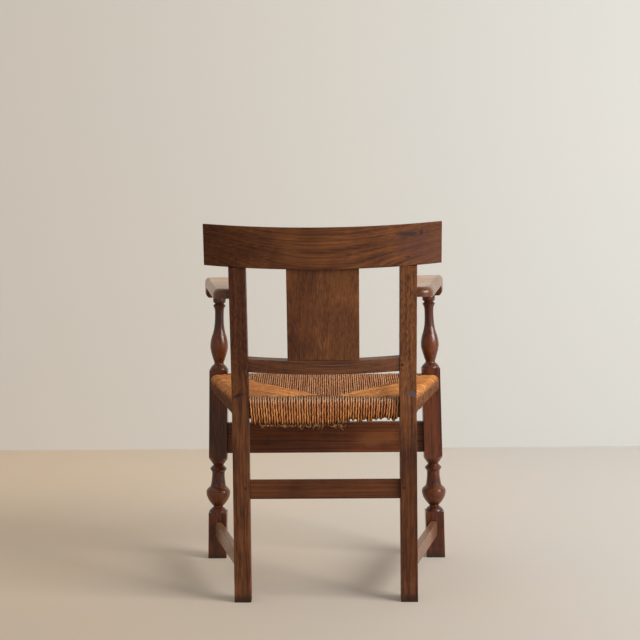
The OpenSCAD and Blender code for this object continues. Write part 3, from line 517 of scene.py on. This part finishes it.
def rush_finish(name, pale, mid, gap_shade, across, bands=(), seams=0.9, flecks=0.0, bundles=0.55):
    """Old rush: long fibres that follow the twist, paler and browner rows, dark between the rows.

    across is the way from one row to the next. bands are colours that come in between two heights:
    (colour, height where it starts, height where it is full, strength). seams is how dark the
    painted shade is between the rows and in the line where the leaves meet, and how bright the
    painted highlight on each crown is. flecks are short dashes of painted shade in the gaps between
    the cords of an edge that is seen from its end. bundles is how much the colour changes from one
    bundle of rows to the next.
    """
    finish, tree, shader = new_finish(name)
    place = tree.node("ShaderNodeTexCoord", out="Object")
    section = tree.node("ShaderNodeAttribute", {"attribute_name": "section"}, out="Vector")
    along = tree.node("ShaderNodeAttribute", {"attribute_name": "along"}, out="Fac")
    tone = tree.node("ShaderNodeAttribute", {"attribute_name": "tone"}, out="Fac")
    fibre = speckle(tree, section.scaled(3.6), size=1.6, detail=4.0, roughness=0.7)
    along_row, row_apart = 110, 90
    patch = tree.joined(z=along * along_row + tone * row_apart)
    leaf = speckle(tree, section.vector("ADD", patch), size=0.55)
    fibres, leaves, rows = 3.2, 2.0, 0.5
    share = (fibre - 0.5) * fibres + (leaf - 0.5) * leaves + (tone - 0.5) * rows + 0.5
    colour = tree.mix(share, mid, pale)
    # Neighbouring rows come from one bundle, so the colour runs in bands along the rows
    drawn_out = 0.10
    long = [drawn_out + (1 - drawn_out) * part for part in across]
    long_place = place.vector("MULTIPLY", long)
    bundle = speckle(tree, long_place, size=70.0, detail=3.0, roughness=0.6)
    colour = colour.tint(bundle.ease(0.46, 0.62, 0.0, bundles), mid)
    height = place.part(2) + (fibre - 0.5) * 0.008
    # Bands and flecks belong to the edge, so the sagging middle has none
    inner, outer = 0.11, 0.15
    rim = place.dot((across[1], across[0], 0)).math("ABSOLUTE").ease(inner, outer)
    for band_colour, start, full, strength in bands:
        way = 1 if full > start else -1
        band = (height * way).ease(start * way, full * way, 0.0, strength)
        colour = colour.tint(band * rim, band_colour)
    if flecks:
        # Painted shade: short dark dashes where the gaps between the cords show
        gaps = speckle(tree, place.vector("MULTIPLY", (1.0, 1.0, 0.62)), size=250.0)
        most_below, least_above = 0.448, 0.463
        edge = height.ease(most_below, least_above, 1.0, 0.12)
        colour = colour.tint(gaps.ease(0.49, 0.57, 0.0, flecks) * edge * rim, gap_shade)
    # The two leaves of a cord meet in a line that winds round it, painted dark as the shade in
    # that groove
    meet = section.part(0).math("ABSOLUTE")
    colour = colour.tint(meet.ease(0.05, 0.34, seams * 0.7, 0.0), gap_shade)
    # Painted shade darkens the sides of each row, down between the rows, and a painted highlight
    # runs along the crown of each row
    side = tree.node("ShaderNodeNewGeometry", out="Normal").dot(across).math("ABSOLUTE")
    colour = colour.tint(side.ease(0.12, 0.72, 0.0, seams), gap_shade)
    shine = [min(1.0, part * 1.15 + 0.05) for part in pale]
    colour = colour.tint(side.ease(0.0, 0.22, seams * 0.5, 0.0) * fibre.ease(0.4, 0.6), shine)
    tree.plug(shader, {
        "Base Color": colour, "Roughness": fibre.ease(0.3, 0.7, 0.60, 0.44),
        "Specular IOR Level": 0.16,
        "Normal": tree.node("ShaderNodeBump", None, {
            "Strength": 0.4, "Distance": 0.0006, "Height": fibre})})
    return finish


def made_by_tree(name, tree, sizes):
    """Makes a piece with a tree of nodes and leaves it as a plain, smooth mesh."""
    piece = bpy.data.objects.new(name, bpy.data.meshes.new(name))
    bpy.context.scene.collection.objects.link(piece)
    modifier = piece.modifiers.new("tree", "NODES")
    modifier.node_group = tree
    for item in tree.interface.items_tree:
        if item.item_type == "SOCKET" and item.in_out == "INPUT":
            modifier[item.identifier] = sizes[item.name]
    graph = bpy.context.evaluated_depsgraph_get()
    mesh = bpy.data.meshes.new_from_object(piece.evaluated_get(graph))
    piece.modifiers.remove(modifier)
    piece.data = mesh
    mesh.polygons.foreach_set("use_smooth", [True] * len(mesh.polygons))
    return piece


rush = rush_tree()


def weave(name, node, finish, sizes):
    """Makes one field of rush and puts it in the place of its solid."""
    field = made_by_tree(name, rush, {**sizes, "Finish": finish})
    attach(field, "root")
    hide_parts(node)


# The seams start at the seat's inner corners, so far to the side of its middle and so far from it
front_wide, front_deep = 0.2432, 0.1952
rear_wide, rear_deep = 0.1687, 0.1687
SEAT = {"Middle": (0.0, -0.01988, 0.0), "Sag": 0.030, "Sag Below": 0.006, "Wrap": 0.013,
        "Lay": 0.034, "Lift": 0.020, "Gather": 0.03}
CROSSWISE = {"Along": (1.0, 0.0, 0.0), "Hang": 0.0}
EVEN = {"Slump": 0.0, "Slump At": 0.0, "Ragged": 0.002, "Top": 0.4630}
weave("rush_weave_front", "rush_front",
      rush_finish("rush of front field", pale=(1.0, 0.52, 0.24), mid=(0.52, 0.170, 0.058),
                  gap_shade=(0.050, 0.014, 0.007), across=(1, 0, 0)),
      {**SEAT, **CROSSWISE, **EVEN,
       "Rows": 92, "Seed": 4, "Out": (0.0, -1.0, 0.0), "First": -front_wide, "Last": front_wide,
       "Seam at First": front_deep, "Seam at Last": front_deep, "Rail at First": 0.2435,
       "Rail at Last": 0.2435, "Bottom": 0.4124, "Belly": 0.009, "Wander": 0.0026,
       "Cord Radius": 0.0029})
weave("rush_weave_rear", "rush_rear",
      rush_finish("rush of rear field", pale=(1.0, 0.42, 0.120), mid=(0.230, 0.052, 0.0115),
                  gap_shade=(0.060, 0.012, 0.004), across=(1, 0, 0),
                  # The wrap is a little warmer above its middle; its top edge is paler, partly dust
                  # and wear and partly a painted sheen; towards its bottom it is painted darker as
                  # shade
                  bands=[((0.74, 0.310, 0.170), 0.4200, 0.4440, 0.25),
                         ((0.72, 0.430, 0.250), 0.4500, 0.4550, 0.75),
                         ((0.055, 0.020, 0.006), 0.4110, 0.4010, 0.75)]),
      {**SEAT, **CROSSWISE,
       "Rows": 58, "Seed": 9, "Out": (0.0, 1.0, 0.0), "First": -rear_wide, "Last": rear_wide,
       "Seam at First": rear_deep, "Seam at Last": rear_deep, "Rail at First": 0.2023,
       "Rail at Last": 0.2023, "Top": 0.4605, "Bottom": 0.4110, "Belly": 0.005, "Slump": 0.0100,
       "Slump At": 0.065, "Ragged": 0.009, "Wander": 0.0044, "Cord Radius": 0.0033})
# The left field's colours are painted a little paler than the right one's, for the light it catches
for side, sign, seed, pale, mid in (
        ("left", 1.0, 17, (1.0, 0.48, 0.175), (0.62, 0.205, 0.050)),
        ("right", -1.0, 23, (1.0, 0.47, 0.155), (0.56, 0.190, 0.044))):
    weave(f"rush_weave_{side}", f"rush_{side}",
          rush_finish(f"rush of {side} field", pale, mid, gap_shade=(0.07, 0.022, 0.007),
                      # The outer roll is painted darker towards its bottom as shade
                      across=(0, 1, 0), bands=[((0.13, 0.048, 0.019), 0.4635, 0.4440, 0.90)],
                      seams=0.15, flecks=0.9, bundles=0.85),
          {**SEAT, **EVEN,
           "Rows": 66, "Seed": seed, "Along": (0.0, 1.0, 0.0), "Out": (sign, 0.0, 0.0),
           "First": -front_deep, "Last": rear_deep, "Seam at First": front_wide,
           "Seam at Last": rear_wide, "Rail at First": 0.2860, "Rail at Last": 0.2071,
           "Bottom": 0.4204, "Hang": 0.009, "Belly": 0.0, "Wander": 0.0040,
           "Cord Radius": 0.0038})


# Frayed ends. Below the rear rail some cords have worn through, and their loose fibres hang and
# curl out of the hem.
def fray_tree():
    """Loose fibres that start along a line and hang from it, each with a bend of its own."""
    wire, given = new_tree("frayed rush", {
        "NodeSocketInt": ["Count", "Seed"],
        "NodeSocketVector": ["From", "To"],
        "NodeSocketFloat": ["Length", "Radius", "Curl"]})
    joints = 6
    points = wire.node("GeometryNodePoints", None, {"Count": given["Count"] * joints})
    index = wire.node("GeometryNodeInputIndex")
    fibre = (index / joints).math("FLOOR")
    down = (index - fibre * joints) / (joints - 1)
    start, length, bend, bow, curl = [
        chance(wire, low, high, fibre, given["Seed"] + step)
        for step, (low, high) in enumerate(
            ((0.0, 1.0), (0.3, 1.0), (-1.0, 1.0), (-0.6, 1.0), (0.0, 0.8)), 1)]
    span = given["To"].vector("SUBTRACT", given["From"])
    place = given["From"].vector("ADD", span.scaled(start))
    drop = down * given["Length"] * length
    aside = down * down * bend * given["Curl"]
    forward = down * (1 - down) * bow * given["Curl"]
    lift = down.math("POWER", 3.0) * curl * given["Curl"]
    place = place.vector("ADD", wire.joined(aside, forward, lift - drop))
    points = wire.node("GeometryNodeSetPosition", None, {"Geometry": points, "Position": place})
    hairs = wire.node("GeometryNodePointsToCurves", None, {
        "Points": points, "Curve Group ID": fibre})
    thinner = wire.node("GeometryNodeSplineParameter").ease(0.2, 1.0, 1.0, 0.35)
    hair = round_section(wire, sides=5)
    swept(wire, hairs, hair, given["Radius"] * thinner, given["Finish"])
    return wire.tree


straw, tree, shader = new_finish("broken rush")
place = tree.node("ShaderNodeTexCoord", out="Object")
bleached = speckle(tree, place, size=90.0, roughness=0.6)
tree.plug(shader, {
    "Base Color": tree.mix(bleached.ease(0.35, 0.65), (0.19, 0.075, 0.022), (0.46, 0.27, 0.13)),
    "Roughness": 0.7, "Specular IOR Level": 0.2})
fray = fray_tree()
hem_y, hem_z = 0.193, 0.4035
for name, count, left, right, length, seed in (
        ("rush_fray_left", 30, 0.150, 0.060, 0.010, 3),
        ("rush_fray_middle", 24, 0.055, -0.050, 0.014, 8)):
    tuft = made_by_tree(name, fray, {
        "Count": count, "From": (left, hem_y, hem_z), "To": (right, hem_y, hem_z),
        "Length": length, "Radius": 0.0007, "Curl": 0.011, "Seed": seed, "Finish": straw})
    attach(tuft, "root")


# The room. A pale floor and a plaster wall in front of the chair, one soft lamp high on the
# sitter's right and a pale sky. The camera stands behind the chair at seated eye height.
def flat_sheet(name, corners, finish):
    mesh = bpy.data.meshes.new(name)
    mesh.from_pydata(corners, [], [(0, 1, 2, 3)])
    mesh.materials.append(finish)
    sheet = bpy.data.objects.new(name, mesh)
    bpy.context.scene.collection.objects.link(sheet)


wall_y, near_y, room_y, room_side, wall_top = -1.80, 1.4, 7, 6, 4


def stage_finish(name, left, right, far, glow):
    """Pale plaster, another colour to each side, and seen a little brighter than the lamp makes it.

    far is how much paler it is painted at the wall, and how much darker near the camera. These
    changes and the colours to each side are painted light and shade, for how the light falls.
    """
    finish, tree, shader = new_finish(name)
    place = tree.node("ShaderNodeTexCoord", out="Object")
    mottle = speckle(tree, place, size=2.2, detail=4.0, roughness=0.6)
    right_x, left_x = -1.2, 1.2
    share = place.part(0).ease(right_x, left_x) + (mottle - 0.5) * 0.5
    colour = tree.mix(share, right, left)
    colour = colour.dimmed(place.part(1).ease(wall_y, near_y, 1 + far, 1 - far))
    by_camera, by_gloss, by_glass = [tree.node("ShaderNodeLightPath", out=ray) for ray in (
        "Is Camera Ray", "Is Glossy Ray", "Is Transmission Ray")]
    seen = by_camera.math("MAXIMUM", by_gloss.math("MAXIMUM", by_glass))
    tree.plug(shader, {
        "Base Color": colour, "Roughness": 0.9, "Emission Color": colour,
        "Emission Strength": seen * glow})
    # From its back the sheet lets the eye through, so that it hides no side of the chair
    back = tree.node("ShaderNodeNewGeometry", out="Backfacing")
    both = tree.node("ShaderNodeMixShader", None, {
        0: back * by_camera, 1: Wire(tree.tree, shader.outputs[0]),
        2: tree.node("ShaderNodeBsdfTransparent")})
    tree.plug(finish.node_tree.nodes["Material Output"], {"Surface": both})
    return finish


flat_sheet("floor", [(-room_side, wall_y, 0), (room_side, wall_y, 0), (room_side, room_y, 0),
                     (-room_side, room_y, 0)],
           stage_finish("pale floor", left=(0.60, 0.48, 0.355), right=(0.53, 0.50, 0.465),
                        far=0.20, glow=0.12))
flat_sheet("wall", [(room_side, wall_y, 0), (-room_side, wall_y, 0), (-room_side, wall_y, wall_top),
                    (room_side, wall_y, wall_top)],
           stage_finish("pale plaster", left=(0.56, 0.525, 0.475), right=(0.53, 0.53, 0.51),
                        far=0.0, glow=0.25))

sky = bpy.data.worlds.new("pale sky")
sky.use_nodes = True
sky.node_tree.nodes["Background"].inputs["Color"].default_value = (1.0, 0.985, 0.96, 1)
sky.node_tree.nodes["Background"].inputs["Strength"].default_value = 0.55
bpy.context.scene.world = sky

lamp = bpy.data.lights.new("window lamp", "AREA")
lamp.shape = "RECTANGLE"
lamp.size, lamp.size_y = 2.2, 1.4
lamp.energy = 155
lamp.color = (1.0, 0.97, 0.93)
window = bpy.data.objects.new("window lamp", lamp)
bpy.context.scene.collection.objects.link(window)
window.location = (-3.1, 1.65, 1.95)
aim = Vector((0, 0, 0.5)) - window.location
window.rotation_euler = aim.to_track_quat("-Z", "Y").to_euler()

lens = bpy.data.cameras.new("camera")
lens.sensor_width = 36
lens.lens = 83.81
lens.shift_x, lens.shift_y = 0.0609, -0.0700
lens.clip_end = 50
camera = bpy.data.objects.new("camera", lens)
bpy.context.scene.collection.objects.link(camera)
camera.location = (-0.0160, 3.4948, 0.9311)
yaw, pitch, roll = math.radians(1.881), math.radians(3.329), math.radians(-0.710)
look = Vector((math.sin(yaw) * math.cos(pitch), -math.cos(yaw) * math.cos(pitch), -math.sin(pitch)))
upright = look.to_track_quat("-Z", "Y").to_matrix()
camera.rotation_euler = (upright @ Matrix.Rotation(roll, 3, "Z")).to_euler()
bpy.context.scene.camera = camera
bpy.context.scene.view_settings.view_transform = "Standard"
